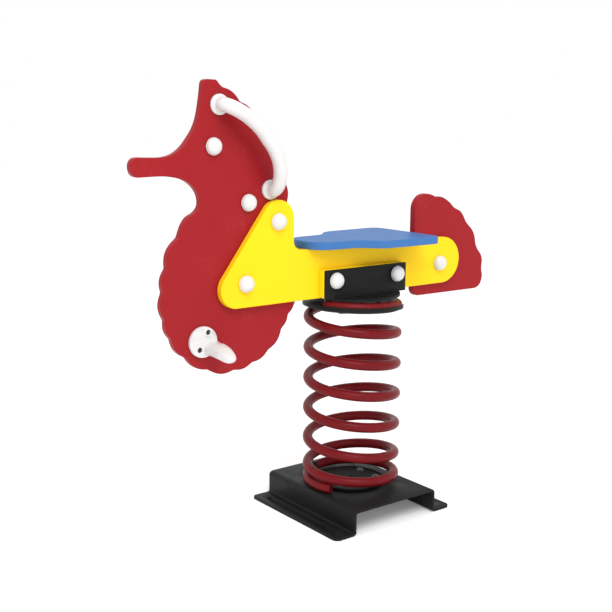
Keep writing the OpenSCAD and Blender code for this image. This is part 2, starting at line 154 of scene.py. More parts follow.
def side_outline():
    z0, z1, r = DECK_Z, DECK_Z + SIDE_H, SIDE_H / 2
    return (arc((-294, z0 + 35), 35, -90, -214.9, 40) + arc((-200, z0 + 160.5), 35, 145.1, 0, 44)
            + arc((-147, z1 + 18), 18, 180, 270, 20) + arc((229, z0 + r), r, 90, -90, 64))


def seat_outline():
    return smooth_ring(SEAT_HALF + [[p[0], -p[1]] for p in reversed(SEAT_HALF)], 8)


def round_rect(cx, cy, w, d, r, n=10):
    out = []
    for sx, sy, a in ((1, 1, 0), (-1, 1, 90), (-1, -1, 180), (1, -1, 270)):
        out += arc((cx + sx * (w / 2 - r), cy + sy * (d / 2 - r)), r, a, a + 90, n)
    return out


def resample(pts, step, sigma=0.0):
    """Closed outline with even spacing, its corners eased by sigma mm."""
    p = np.array(pts, float)
    keep = [0]
    for i in range(1, len(p)):
        if np.hypot(*(p[i] - p[keep[-1]])) > 1e-3:
            keep.append(i)
    p = p[keep]
    if np.hypot(*(p[0] - p[-1])) < 1e-3:
        p = p[:-1]
    q = np.vstack([p, p[:1]])
    d = np.hypot(*np.diff(q, axis=0).T)
    s = np.concatenate([[0], np.cumsum(d)])
    n = int(round(s[-1] / step))
    t = np.linspace(0, s[-1], n, endpoint=False)
    out = np.stack([np.interp(t, s, q[:, 0]), np.interp(t, s, q[:, 1])], 1)
    if sigma:
        st = s[-1] / n
        h = int(math.ceil(3 * sigma / st))
        k = np.exp(-0.5 * (np.arange(-h, h + 1) * st / sigma) ** 2)
        k /= k.sum()
        out = sum(k[j + h] * np.roll(out, -j, axis=0) for j in range(-h, h + 1))
    return out


def ccw(p):
    x, y = p[:, 0], p[:, 1]
    area = 0.5 * np.sum(x * np.roll(y, -1) - np.roll(x, -1) * y)
    return p if area > 0 else p[::-1].copy()


def out_normals(p):
    t = np.roll(p, -1, axis=0) - np.roll(p, 1, axis=0)
    n = np.stack([t[:, 1], -t[:, 0]], 1)
    return n / np.linalg.norm(n, axis=1)[:, None]


# ---------------------------------------------------------------- mesh helpers
def new_obj(name, me):
    o = bpy.data.objects.new(name, me)
    COL.objects.link(o)
    return o


def add_mesh(name, verts, faces, normals=None, smooth_all=True):
    """verts in mm. normals, where given, is one vector for each corner of each face."""
    me = bpy.data.meshes.new(name)
    me.from_pydata([tuple(float(c) * MM for c in v) for v in verts], [], faces)
    me.update()
    for p in me.polygons:
        p.use_smooth = smooth_all
    if normals is not None:
        me.normals_split_custom_set([tuple(float(c) for c in n) for n in normals])
    return new_obj(name, me)


def set_sharp(me, deg=30):
    bm = bmesh.new()
    bm.from_mesh(me)
    for e in bm.edges:
        e.smooth = not (len(e.link_faces) == 2 and e.calc_face_angle(0) > math.radians(deg))
    for f in bm.faces:
        f.smooth = True
    bm.to_mesh(me)
    bm.free()


def plate(name, outline, lo, hi, holes=(), r=2.5, seg=4, place="xz", r_lo=None):
    """A routed plate: outline [a, b] swept from lo to hi along the third axis, both rims rounded to r, with drilled holes (a, b, r)."""
    P = ccw(np.array(outline, float))
    N = out_normals(P)
    n = len(P)
    r_lo = r if r_lo is None else r_lo
    rings = []  # (inset, height, outward share, axial share)
    for k in range(seg + 1):
        f = math.pi / 2 * k / seg
        rings.append((r_lo * (1 - math.sin(f)), lo + r_lo * (1 - math.cos(f)), math.sin(f), -math.cos(f)))
    for k in range(seg + 1):
        f = math.pi / 2 * (1 - k / seg)
        rings.append((r * (1 - math.sin(f)), hi - r * (1 - math.cos(f)), math.sin(f), math.cos(f)))
    V, F, L = [], [], []

    def at(a, b, h):
        return (a, h, b) if place == "xz" else (a, b, h)

    def nrm(a, b, h):
        v = Vector((a, h, b) if place == "xz" else (a, b, h))
        return v.normalized()

    flip = place == "xz"  # the x, y, z swap turns the winding over
    for ins, h, so, sa in rings:
        for i in range(n):
            V.append(at(P[i][0] - N[i][0] * ins, P[i][1] - N[i][1] * ins, h))
    vn = [[nrm(N[i][0] * so, N[i][1] * so, sa) for i in range(n)] for ins, h, so, sa in rings]
    for k in range(len(rings) - 1):
        for i in range(n):
            j = (i + 1) % n
            f = [k * n + i, k * n + j, (k + 1) * n + j, (k + 1) * n + i]
            nn = [vn[k][i], vn[k][j], vn[k + 1][j], vn[k + 1][i]]
            if flip:
                f, nn = f[::-1], nn[::-1]
            F.append(f)
            L += nn
    # hole walls, with a small break at each rim
    hole_rings = {0: [], 1: []}
    for (a, b, hr) in holes:
        m = 32
        prof = [(0.5, lo), (0.0, lo + 0.5), (0.0, hi - 0.5), (0.5, hi)]
        base = len(V)
        for e, h in prof:
            for i in range(m):
                t = 2 * math.pi * i / m
                V.append(at(a + (hr + e) * math.cos(t), b + (hr + e) * math.sin(t), h))
        for k in range(3):
            for i in range(m):
                j = (i + 1) % m
                f = [base + k * m + j, base + k * m + i, base + (k + 1) * m + i, base + (k + 1) * m + j]
                ax = (-0.7, 0, 0.7)[k]
                ra = (0.7, 1, 0.7)[k]
                nn = []
                for q in (j, i, i, j):
                    t = 2 * math.pi * q / m
                    nn.append(nrm(-math.cos(t) * ra, -math.sin(t) * ra, ax))
                if flip:
                    f, nn = f[::-1], nn[::-1]
                F.append(f)
                L += nn
        hole_rings[0].append([base + i for i in range(m)])
        hole_rings[1].append([base + 3 * m + i for i in range(m)])
    # the two faces, filled round the holes
    for side, ring0 in ((0, 0), (1, (len(rings) - 1) * n)):
        loops = [[ring0 + i for i in range(n)]] + hole_rings[side]
        bm = bmesh.new()
        idx = {}
        for lp in loops:
            vs = []
            for v in lp:
                w = bm.verts.new(V[v])
                idx[w] = v
                vs.append(w)
            for i in range(len(vs)):
                bm.edges.new((vs[i], vs[(i + 1) % len(vs)]))
        bmesh.ops.triangle_fill(bm, use_beauty=True, use_dissolve=False, edges=bm.edges[:])
        want = nrm(0, 0, -1 if side == 0 else 1)
        for f in bm.faces:
            f.normal_update()
            ids = [idx[v] for v in f.verts]
            if f.normal.dot(want) < 0:
                ids = ids[::-1]
            F.append(ids)
            L += [want] * len(ids)
        bm.free()
    return add_mesh(name, V, F, L)


def tube(name, pts, tans, radii, refs, sides=24, cap_a=True, cap_b=True, section=None):
    """Sweep with exact normals. refs gives each ring's own X direction."""
    V, F, L = [], [], []
    dirs = []
    for p, t, r, ref in zip(pts, tans, radii, refs):
        p, t, ref = Vector(p), Vector(t).normalized(), Vector(ref)
        u = (ref - ref.dot(t) * t).normalized()
        b = t.cross(u)
        row = []
        for i in range(sides):
            a = 2 * math.pi * i / sides
            d = math.cos(a) * u + math.sin(a) * b
            row.append(d)
            V.append(p + d * r)
        dirs.append(row)
    n = len(dirs)
    for k in range(n - 1):
        for i in range(sides):
            j = (i + 1) % sides
            F.append([k * sides + i, (k + 1) * sides + i, (k + 1) * sides + j, k * sides + j][::-1])
            L += [dirs[k][j], dirs[k + 1][j], dirs[k + 1][i], dirs[k][i]]
    t0, t1 = Vector(tans[0]).normalized(), Vector(tans[-1]).normalized()
    if cap_a:
        F.append([i for i in range(sides)][::-1])
        L += [-t0] * sides
    if cap_b:
        F.append([(n - 1) * sides + i for i in range(sides)])
        L += [t1] * sides
    return add_mesh(name, V, F, L)


def revolve(name, profile, seg=64, at=(0, 0, 0), axis=(0, 0, 1), sharp=35):
    """profile is [r, h] from the axis outwards and back to it; a closed solid when it starts and ends at r 0."""
    V, F = [], []
    rows = []
    for r, h in profile:
        if r < 1e-6:
            V.append((0, 0, h))
            rows.append([len(V) - 1])
        else:
            row = []
            for i in range(seg):
                a = 2 * math.pi * i / seg
                V.append((r * math.cos(a), r * math.sin(a), h))
                row.append(len(V) - 1)
            rows.append(row)
    closed = profile[0] != profile[-1]
    pairs = list(zip(rows[:-1], rows[1:]))
    for A, B in pairs:
        for i in range(seg):
            j = (i + 1) % seg
            if len(A) == 1 and len(B) == 1:
                continue
            if len(A) == 1:
                F.append([A[0], B[i], B[j]])
            elif len(B) == 1:
                F.append([A[i], B[0], A[j]])
            else:
                F.append([A[i], B[i], B[j], A[j]])
    M = Vector((0, 0, 1)).rotation_difference(Vector(axis)).to_matrix()
    V = [M @ Vector(v) + Vector(at) for v in V]
    o = add_mesh(name, V, F)
    bm = bmesh.new()
    bm.from_mesh(o.data)
    bmesh.ops.remove_doubles(bm, verts=bm.verts[:], dist=1e-7)
    bmesh.ops.recalc_face_normals(bm, faces=bm.faces[:])
    bm.to_mesh(o.data)
    bm.free()
    set_sharp(o.data, sharp)
    return o


def join(name, parts):
    V, out = [], bmesh.new()
    for o in parts:
        out.from_mesh(o.data)
    me = bpy.data.meshes.new(name)
    out.to_mesh(me)
    out.free()
    for o in parts:
        old = o.data
        bpy.data.objects.remove(o)
        bpy.data.meshes.remove(old)
    return new_obj(name, me)


def cad_copy(name, node, bevel=0.8, seg=3, angle=32, dissolve=1.0):
    """A CAD solid with its coplanar triangles merged and every sharp edge broken by a small radius."""
    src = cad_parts[node]
    me = src.data.copy()
    me.name = name
    o = new_obj(name, me)
    bm = bmesh.new()
    bm.from_mesh(me)
    bmesh.ops.remove_doubles(bm, verts=bm.verts[:], dist=1e-6)
    bmesh.ops.dissolve_limit(bm, angle_limit=math.radians(dissolve), verts=bm.verts[:], edges=bm.edges[:])
    bmesh.ops.recalc_face_normals(bm, faces=bm.faces[:])
    for f in bm.faces:
        f.smooth = True
    bm.to_mesh(me)
    bm.free()
    for att in ("custom_normal",):
        if att in me.attributes:
            me.attributes.remove(me.attributes[att])
    if bevel:
        b = o.modifiers.new("bevel", "BEVEL")
        b.width = bevel * MM
        b.segments = seg
        b.limit_method = "ANGLE"
        b.angle_limit = math.radians(angle)
        b.miter_outer = "MITER_ARC"
        b.use_clamp_overlap = True
        b.harden_normals = True
        apply_mods(o)
    set_sharp(o.data, 40)
    return o


def apply_mods(o):
    dg = bpy.context.evaluated_depsgraph_get()
    dg.update()
    ev = o.evaluated_get(dg)
    me = bpy.data.meshes.new_from_object(ev, preserve_all_data_layers=True, depsgraph=dg)
    old = o.data
    o.modifiers.clear()
    o.data = me
    bpy.data.meshes.remove(old)
    me.name = o.name
    return o


# ---------------------------------------------------------------- materials
class Nodes:
    def __init__(self, m):
        m.use_nodes = True
        self.t = m.node_tree
        self.b = self.t.nodes["Principled BSDF"]
        self.co = self.t.nodes.new("ShaderNodeTexCoord")

    def new(self, kind, **kw):
        n = self.t.nodes.new("ShaderNode" + kind)
        for k, v in kw.items():
            if k.startswith("_"):
                setattr(n, k[1:], v)
            else:
                n.inputs[k.replace("__", " ")].default_value = v
        return n

    def link(self, a, b):
        self.t.links.new(a, b)

    def noise(self, scale, detail=3, rough=0.5, stretch=None, distort=0.0):
        src = self.co.outputs["Object"]
        if stretch:
            mp = self.new("Mapping")
            mp.inputs["Scale"].default_value = stretch
            self.link(src, mp.inputs["Vector"])
            src = mp.outputs["Vector"]
        n = self.new("TexNoise", Scale=scale, Detail=detail, Roughness=rough, Distortion=distort)
        self.link(src, n.inputs["Vector"])
        return n.outputs["Fac"]

    def ramp(self, fac, lo, hi, a=0.0, b=1.0):
        m = self.new("MapRange")
        m.inputs["From Min"].default_value = lo
        m.inputs["From Max"].default_value = hi
        m.inputs["To Min"].default_value = a
        m.inputs["To Max"].default_value = b
        m.clamp = True
        self.link(fac, m.inputs["Value"])
        return m.outputs["Result"]

    def mix(self, fac, a, b):
        m = self.new("Mix", _data_type="RGBA")
        ins = [s for s in m.inputs if s.type == "RGBA"]
        if isinstance(fac, float):
            m.inputs[0].default_value = fac
        else:
            self.link(fac, m.inputs[0])
        for s, v in ((ins[0], a), (ins[1], b)):
            if isinstance(v, (tuple, list)):
                s.default_value = (*v[:3], 1.0)
            else:
                self.link(v, s)
        return [s for s in m.outputs if s.type == "RGBA"][0]

    def math(self, op, a, b=None, clamp=False):
        m = self.new("Math", _operation=op, _use_clamp=clamp)
        for i, v in enumerate((a, b)):
            if v is None:
                continue
            if isinstance(v, (int, float)):
                m.inputs[i].default_value = v
            else:
                self.link(v, m.inputs[i])
        return m.outputs[0]

    def bump(self, height, strength, distance, under=None):
        n = self.new("Bump", Strength=strength, Distance=distance)
        self.link(height, n.inputs["Height"])
        if under is not None:
            self.link(under, n.inputs["Normal"])
        return n.outputs["Normal"]


def shade(c, k):
    return tuple(min(1.0, v * k) for v in c)


def hdpe(name, col, rough=0.36, spec=0.3, edge_axis="Y", sss=0.0):
    """Through-coloured polyethylene sheet: fine pebble grain on the faces, cutter lines along the routed edges, faint handling marks."""
    m = bpy.data.materials.new(name)
    k = Nodes(m)
    big = k.noise(7.0, 3, 0.55)
    mid = k.noise(60.0, 4, 0.6)
    fine = k.noise(900.0, 2, 0.5)
    c = k.mix(k.ramp(big, 0.3, 0.7), shade(col, 0.965), shade(col, 1.03))
    c = k.mix(k.ramp(mid, 0.62, 0.8, 0.0, 0.12), c, shade(col, 0.9))
    c = k.mix(k.ramp(fine, 0.6, 0.78, 0.0, 0.10), c, tuple(0.82 * v + 0.18 * 0.9 for v in col))
    # handling marks: sparse fine scratches that lighten the surface
    s1 = k.noise(46.0, 2, 0.4, stretch=(0.35, 3.0, 5.5), distort=0.6)
    s2 = k.noise(52.0, 2, 0.4, stretch=(4.5, 3.0, 0.5), distort=0.9)
    thin1 = k.math("SUBTRACT", 1.0, k.ramp(k.math("ABSOLUTE", k.math("SUBTRACT", s1, 0.5)), 0.0, 0.006))
    thin2 = k.math("SUBTRACT", 1.0, k.ramp(k.math("ABSOLUTE", k.math("SUBTRACT", s2, 0.5)), 0.0, 0.005))
    patch = k.ramp(k.noise(14.0, 3, 0.6), 0.56, 0.7)
    scr = k.math("MULTIPLY", k.math("MAXIMUM", thin1, thin2), patch)
    c = k.mix(k.math("MULTIPLY", scr, 0.16), c, tuple(0.6 * v + 0.4 * 0.85 for v in col))
    k.link(c, k.b.inputs["Base Color"])
    r = k.ramp(mid, 0.3, 0.7, rough - 0.035, rough + 0.045)
    r = k.math("ADD", r, k.math("MULTIPLY", scr, 0.14), clamp=True)
    k.link(r, k.b.inputs["Roughness"])
    k.b.inputs["Specular IOR Level"].default_value = spec
    # routed edge: cutter lines across the thickness, only where the surface faces away from the sheet's own axis
    sep = k.new("SeparateXYZ")
    k.link(k.co.outputs["Normal"], sep.inputs[0])
    side = k.ramp(k.math("ABSOLUTE", sep.outputs[edge_axis]), 0.75, 0.45)
    stretch = (1.0, 0.02, 1.0) if edge_axis == "Y" else (1.0, 1.0, 0.02)
    lines = k.noise(1300.0, 1, 0.4, stretch=stretch)
    h2 = k.math("MULTIPLY", lines, side)
    n1 = k.bump(fine, 0.10, 0.00035)
    n2 = k.bump(h2, 0.16, 0.0003, n1)
    n3 = k.bump(big, 0.06, 0.004, n2)
    k.link(n3, k.b.inputs["Normal"])
    return m


def coat(name, col, rough=0.4, spec=0.4, grain=0.12, lump=520.0, worn=None, metal=0.0):
    """Powder coat: orange peel, slight mottle, and dust-light specks."""
    m = bpy.data.materials.new(name)
    k = Nodes(m)
    peel = k.noise(lump, 2, 0.45)
    fine = k.noise(2200.0, 2, 0.5)
    big = k.noise(22.0, 4, 0.6)
    c = k.mix(k.ramp(big, 0.3, 0.7), shade(col, 0.88), shade(col, 1.1))
    c = k.mix(k.ramp(fine, 0.66, 0.8, 0.0, 0.22), c, tuple(0.8 * v + 0.2 * 0.35 for v in col))
    if worn is not None:
        w = k.ramp(k.noise(95.0, 5, 0.7), 0.66, 0.72)
        c = k.mix(k.math("MULTIPLY", w, 0.35), c, worn)
    k.link(c, k.b.inputs["Base Color"])
    k.link(k.ramp(big, 0.3, 0.7, rough - 0.05, rough + 0.06), k.b.inputs["Roughness"])
    k.b.inputs["Specular IOR Level"].default_value = spec
    n1 = k.bump(peel, grain, 0.0006)
    n2 = k.bump(fine, 0.08, 0.0001, n1)
    k.link(n2, k.b.inputs["Normal"])
    return m


def moulded(name, col, rough=0.24, spec=0.5):
    """Injection-moulded nylon: smooth gloss with faint flow waviness."""
    m = bpy.data.materials.new(name)
    k = Nodes(m)
    big = k.noise(40.0, 3, 0.5)
    fine = k.noise(1500.0, 2, 0.5)
    c = k.mix(k.ramp(big, 0.3, 0.7), shade(col, 0.97), shade(col, 1.015))
    c = k.mix(k.ramp(k.noise(150.0, 4, 0.65), 0.66, 0.8, 0.0, 0.10), c, (0.55, 0.53, 0.49))
    k.link(c, k.b.inputs["Base Color"])
    k.link(k.ramp(big, 0.3, 0.7, rough - 0.04, rough + 0.06), k.b.inputs["Roughness"])
    k.b.inputs["Specular IOR Level"].default_value = spec
    k.b.inputs["Subsurface Weight"].default_value = 0.06
    k.b.inputs["Subsurface Radius"].default_value = (0.003, 0.003, 0.003)
    n1 = k.bump(fine, 0.05, 0.0002)
    n2 = k.bump(big, 0.05, 0.002, n1)
    k.link(n2, k.b.inputs["Normal"])
    return m


def zinc(name):
    m = bpy.data.materials.new(name)
    k = Nodes(m)
    v = k.new("TexVoronoi", Scale=420.0)
    k.link(k.co.outputs["Object"], v.inputs["Vector"])
    flake = k.ramp(v.outputs["Distance"], 0.0, 0.7)
    big = k.noise(60.0, 3, 0.6)
    c = k.mix(flake, (0.50, 0.51, 0.53), (0.66, 0.67, 0.69))
    c = k.mix(k.ramp(big, 0.58, 0.75, 0.0, 0.4), c, (0.40, 0.39, 0.36))
    k.link(c, k.b.inputs["Base Color"])
    k.b.inputs["Metallic"].default_value = 1.0
    k.link(k.ramp(big, 0.3, 0.7, 0.26, 0.44), k.b.inputs["Roughness"])
    k.link(k.bump(k.noise(900.0, 2, 0.5), 0.12, 0.0002), k.b.inputs["Normal"])
    return m


RED = (0.302, 0.0112, 0.0152)
YEL = (0.96, 0.605, 0.008)
BLU = (0.043, 0.150, 0.39)
M_RED = hdpe("hdpe_red", RED, spec=0.12)
M_YEL = hdpe("hdpe_yellow", YEL, rough=0.38, spec=0.12)
M_BLU = hdpe("hdpe_blue", BLU, rough=0.48, spec=0.2, edge_axis="Z")
M_BLACK = coat("powder_black", (0.0085, 0.0085, 0.0088), rough=0.5, spec=0.13, grain=0.16, lump=620.0)
M_SPRING = coat("powder_red", (0.15, 0.0062, 0.0088), rough=0.36, spec=0.12, grain=0.10, lump=420.0)
M_WHITE = moulded("nylon_white", (0.66, 0.655, 0.648))
M_ZINC = zinc("zinc_plate")
M_DARKZINC = coat("dark_zinc", (0.10, 0.10, 0.105), rough=0.22, spec=0.6, grain=0.04, lump=900.0)
M_BLACKSTEEL = coat("black_oxide", (0.012, 0.012, 0.013), rough=0.4, spec=0.5, grain=0.05, lump=900.0)


def finish(o, mat, slot, body, *nodes):
    o.data.materials.clear()
    o.data.materials.append(mat)
    if nodes:
        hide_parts(*nodes)
    if body:
        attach(o, body)
    return o


# ---------------------------------------------------------------- routed panels
H = 4.5
body_holes = [(b[0], b[1], H) for b in (EYE, CHEEK, P_TOP, P_LOW)] + [(g[0], g[1], H) for g in (GRIP_A, GRIP_B)] + [(f[0], f[1], 3.5) for f in FOOT]
finish(plate("body_panel_routed", resample(body_outline(), 1.6, 2.2), -YB, YB, body_holes, r=2.2), M_RED, "red_panel", "rider", "body_panel")
finish(plate("tail_panel_routed", resample(tail_outline(), 1.6, 2.2), -YB, YB, [(P_END[0], P_END[1], H)], r=2.2), M_RED, "red_panel", "rider", "tail_panel")
side_holes = [(b[0], b[1], H) for b in (P_TOP, P_LOW, P_END, E_FR, E_RE)]
SO = resample(side_outline(), 1.8, 0.8)
finish(plate("side_plate_near_routed", SO, -YS, -YB, side_holes, r=2.2), M_YEL, "yellow_panel", "rider", "side_plate_near")
finish(plate("side_plate_far_routed", SO, YB, YS, side_holes, r=2.2), M_YEL, "yellow_panel", "rider", "side_plate_far")
sp = resample(round_rect(-1, DECK_Z + 29.1, 210, 58.2, 8), 1.5)
ear_holes = [(b[0], b[1], H) for b in (E_FR, E_RE)]
finish(plate("spacer_near_routed", sp, -YP, -YS, ear_holes, r=1.5), M_YEL, "yellow_panel", "rider", "spacer_near")
finish(plate("spacer_far_routed", sp, YS, YP, ear_holes, r=1.5), M_YEL, "yellow_panel", "rider", "spacer_far")
finish(plate("seat_routed", resample(seat_outline(), 1.8, 2.0), SEAT_Z, SEAT_Z + PANEL_T, [], r=3.2, seg=5, place="xy", r_lo=1.5), M_BLU, "blue_panel", "rider", "seat")


# ---------------------------------------------------------------- spring
def coil_z(t):
    s = TURNS - t
    if t < 0:
        return COIL_TOP
    if t < IN_W:
        return COIL_TOP - IN_P * t - (PITCH - IN_P) * t * t / (2 * IN_W)
    if s < OUT_W:
        return COIL_FOOT + OUT_P * s + (PITCH - OUT_P) * s * s / (2 * OUT_W)
    return COIL_K - PITCH * t


def coil_p(t):
    a = math.radians(-155 + 360 * t)
    return Vector((COIL_R * math.cos(a), COIL_R * math.sin(a), coil_z(t)))


def spring_piece(name, node, t0, t1, start=None, a=None):
    """One stretch of the wire, its ends cut square where the next stretch begins; the two free ends of the spring are ground with a small break."""
    n = max(8, int(math.ceil((t1 - t0) * 72)))
    ts = [t0 + (t1 - t0) * k / n for k in range(n + 1)]
    radii = [WR] * len(ts)
    turn = 2 * math.pi * COIL_R
    if t0 < 0:
        ts = [t0, t0 + 0.25 / turn, t0 + 0.8 / turn] + ts[1:]
        radii = [WR - 0.9, WR - 0.35, WR] + radii[1:]
    if t1 == TURNS:
        ts = ts[:-1] + [TURNS - 0.8 / turn, TURNS - 0.25 / turn, TURNS]
        radii = radii[:-1] + [WR, WR - 0.35, WR - 0.9]
    pts, tans, refs = [], [], []
    for t in ts:
        e = 1e-3
        pts.append(coil_p(t))
        tans.append(coil_p(t + e) - coil_p(t - e))
        ang = math.radians(-155 + 360 * t)
        refs.append((math.cos(ang), math.sin(ang), 0))
    o = tube(name, pts, tans, radii, refs, sides=28)
    o.data.materials.append(M_SPRING)
    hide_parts(node)
    if start is None:
        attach(o, a)
    else:
        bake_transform(o)
    return o


spring_piece("spring_top_wire", "spring_top_turn", -0.03, 0.4, a="rider")
spring_piece("spring_upper_wire", "spring_upper_coils", 0.4, 1.35, 376, "spring_high")
spring_piece("spring_middle_wire", "spring_middle_coils", 1.35, 2.85, 356, "spring_high")
spring_piece("spring_lower_wire", "spring_lower_coils", 2.85, 5.35, 122, "spring_low")
spring_piece("spring_bottom_wire", "spring_bottom_turn", 5.35, TURNS, 80, "base")


# ---------------------------------------------------------------- metalwork
base = cad_copy("base_plate_bent", "base_plate", bevel=0.9, seg=3)
finish(base, M_BLACK, "black_coat", "base", "base_plate")
low = cad_copy("lower_clamp_plate_cut", "lower_clamp_plate", bevel=0.35, seg=2)
finish(low, M_BLACK, "black_coat", "base", "lower_clamp_plate")
up = cad_copy("upper_clamp_plate_cut", "upper_clamp_plate", bevel=0.9, seg=3)
finish(up, M_BLACK, "black_coat", "rider", "upper_clamp_plate")
brk = cad_copy("top_bracket_cut", "top_bracket", bevel=0.8, seg=3)
finish(brk, M_BLACK, "black_coat", "rider", "top_bracket")


def bead(name, p0, p1, r, body, seed, squash=1.0):
    """A weld bead: overlapping half-round ripples along the joint."""
    p0, p1 = Vector(p0), Vector(p1)
    d = p1 - p0
    L = d.length
    n = int(L / 0.5)
    rng = np.random.RandomState(seed)
    ph = rng.rand() * 6
    pts, tans, radii, refs = [], [], [], []
    for k in range(n + 1):
        u = k / n
        s = u * L
        ripple = abs(math.sin(math.pi * s / 3.4 + ph))
        endt = min(1.0, math.sqrt(max(0.0, min(s, L - s)) / 2.5))
        pts.append(p0 + d * u)
        tans.append(d)
        radii.append(max(0.25, r * (0.86 + 0.16 * ripple + 0.05 * math.sin(s * 0.21 + ph)) * endt))
        refs.append((0, 0, 1))
    o = tube(name, pts, tans, radii, refs, sides=14)
    finish(o, M_BLACK, "black_coat", body)
    return o


def chord(y):
    return math.sqrt(max(0.0, 95.0 ** 2 - y * y))


for s, nm in ((-1, "near"), (1, "far")):
    bead("ear_weld_in_" + nm, (-chord(37.5) + 4, s * (YP - 0.6), DECK_Z + 0.4), (chord(37.5) - 4, s * (YP - 0.6), DECK_Z + 0.4), 2.6, "rider", 3 + s)
    bead("ear_weld_out_" + nm, (-chord(42.5) + 4, s * (YE + 0.4), DECK_Z + 0.4), (chord(42.5) - 4, s * (YE + 0.4), DECK_Z + 0.4), 2.6, "rider", 7 + s)


# ---------------------------------------------------------------- bolts, nuts and caps
finish(cad_copy("lower_clamp_bolts_domed", "lower_clamp_bolts", 0.3, 2), M_DARKZINC, "zinc_steel", "base", "lower_clamp_bolts")
finish(cad_copy("lower_clamp_nuts_zinc", "lower_clamp_nuts", 0.4, 2), M_ZINC, "zinc_steel", "base", "lower_clamp_nuts")
finish(cad_copy("upper_clamp_bolts_zinc", "upper_clamp_bolts", 0.5, 2), M_ZINC, "zinc_steel", "rider", "upper_clamp_bolts")

CAP_PROFILE = [(10.0, 1.7), (14.55, 1.7), (14.85, 2.0), (14.95, 2.9), (14.75, 3.3), (14.45, 3.45), (14.5, 3.6)]
for k in range(1, 15):
    a = math.radians(6 * k + 4)
    CAP_PROFILE.append((14.55 * math.cos(a) ** 0.92 if k < 14 else 1.2, 3.6 + 9.9 * math.sin(a) ** 1.02))
CAP_PROFILE.append((0.0, 13.5))


def cap_set(name, s, nodes):
    parts = []
    for i, b in enumerate(BOLTS):
        prof = [(0.0, 1.9), (9.0, 1.9)] + [(r * 1.073, h if h < 2.5 else 2.5 + (h - 2.5) * 1.1) for r, h in CAP_PROFILE]
        parts.append(revolve("cap_%d" % i, prof, 56, (b[0], s * b[2], b[1]), (0, s, 0), 40))
    return finish(join(name, parts), M_WHITE, "white_plastic", "rider", *nodes)


def washer_set(name):
    parts = []
    for i, b in enumerate(BOLTS):
        for s in (-1, 1):
            parts.append(revolve("w", [(4.2, 0.0), (14.7, 0.0), (15.0, 0.3), (15.0, 1.3), (14.6, 1.65), (4.2, 1.65), (4.2, 0.0)], 56,
                                 (b[0], s * b[2], b[1]), (0, s, 0), 40))
    return finish(join(name, parts), M_WHITE, "white_plastic", "rider", "cap_washers")


cap_set("domed_caps_near", -1, ["bolt_caps_near"])
cap_set("domed_caps_far", 1, ["bolt_caps_far"])
washer_set("cap_cups")


# ---------------------------------------------------------------- hand grips
GA, GB = Vector((GRIP_A[0], 0, GRIP_A[1])), Vector((GRIP_B[0], 0, GRIP_B[1]))
GL = (GB - GA).length
GU = (GB - GA) / GL
GN = Vector((-GU.z, 0, GU.x))
COLLAR_T, GRIP_OFF, GRIP_R = 8.0, 42.0, 13.0


def grip_p(f, s):
    c = math.cos(f)
    k = 2 / 2.6
    al = GL / 2 * (1 - math.copysign(abs(c) ** k, c))
    st = abs(math.sin(f)) ** k * (GRIP_OFF - COLLAR_T)
    w = 2 * al / GL - 1
    bu = (27 + 12 * max(w, 0.0)) * (1 - w * w)
    p = GA + GU * al + GN * bu
    return Vector((p.x, s * (YB + COLLAR_T + st), p.z))


def grip(s, nm):
    dense = [grip_p(math.pi * i / 4000, s) for i in range(4001)]
    d = [0.0]
    for a, b in zip(dense[:-1], dense[1:]):
        d.append(d[-1] + (b - a).length)
    n = 96
    pts = []
    j = 0
    for k in range(n + 1):
        t = d[-1] * k / n
        while j < len(d) - 2 and d[j + 1] < t:
            j += 1
        u = (t - d[j]) / max(1e-9, d[j + 1] - d[j])
        pts.append(dense[j].lerp(dense[j + 1], u))
    tans = []
    for k in range(n + 1):
        a, b = pts[max(0, k - 1)], pts[min(n, k + 1)]
        tans.append(b - a)
    tans[0] = Vector((0, s, 0))
    tans[-1] = Vector((0, -s, 0))
    radii = []
    for k in range(n + 1):
        e = min(k, n - k) / n * d[-1]
        radii.append(GRIP_R - 0.55 * math.exp(-(e / 3.0) ** 2))
    ref = (GN.x, 0, GN.z)
    o = tube("grip_bar_" + nm, pts, tans, radii, [ref] * (n + 1), sides=36)
    finish(o, M_WHITE, "white_plastic", "rider", "handle_" + nm)
    parts = []
    for i, g in enumerate((GRIP_A, GRIP_B)):
        prof = [(4.0, 0.0), (18.0, 0.0), (18.5, 0.5), (18.5, 3.6), (18.2, 4.5), (17.4, 5.1), (15.6, 5.3), (14.4, 5.6), (14.3, 7.0), (14.0, 7.6), (13.4, 7.95),
                (12.2, 7.95), (11.9, 7.5), (4.0, 7.5), (4.0, 0.0)]
        parts.append(revolve("c%d" % i, prof, 64, (g[0], s * YB, g[1]), (0, s, 0), 40))
    finish(join("grip_collars_" + nm, parts), M_WHITE, "white_plastic", "rider", "handle_collars_" + nm)


grip(-1, "near")
grip(1, "far")


# ---------------------------------------------------------------- foot pegs
def boolean(o, cutter, op="DIFFERENCE"):
    m = o.modifiers.new("b", "BOOLEAN")
    m.operation = op
    m.solver = "EXACT"
    m.object = cutter
    apply_mods(o)
    me = cutter.data
    bpy.data.objects.remove(cutter)
    bpy.data.meshes.remove(me)
    return o


def flange(off=0.0, n=80):
    return arc((-362.0, 389.5 + ZR), 29 - off, -90, 270, n)


def simple_prism(name, outline, y0, y1):
    P = ccw(np.array(outline, float))
    n = len(P)
    V = [(p[0], y0, p[1]) for p in P] + [(p[0], y1, p[1]) for p in P]
    F = [[i, (i + 1) % n, n + (i + 1) % n, n + i][::-1] for i in range(n)]
    F += [list(range(n)), [n + i for i in range(n)][::-1]]
    o = add_mesh(name, V, F)
    bm = bmesh.new()
    bm.from_mesh(o.data)
    bmesh.ops.recalc_face_normals(bm, faces=bm.faces[:])
    bm.to_mesh(o.data)
    bm.free()
    return o


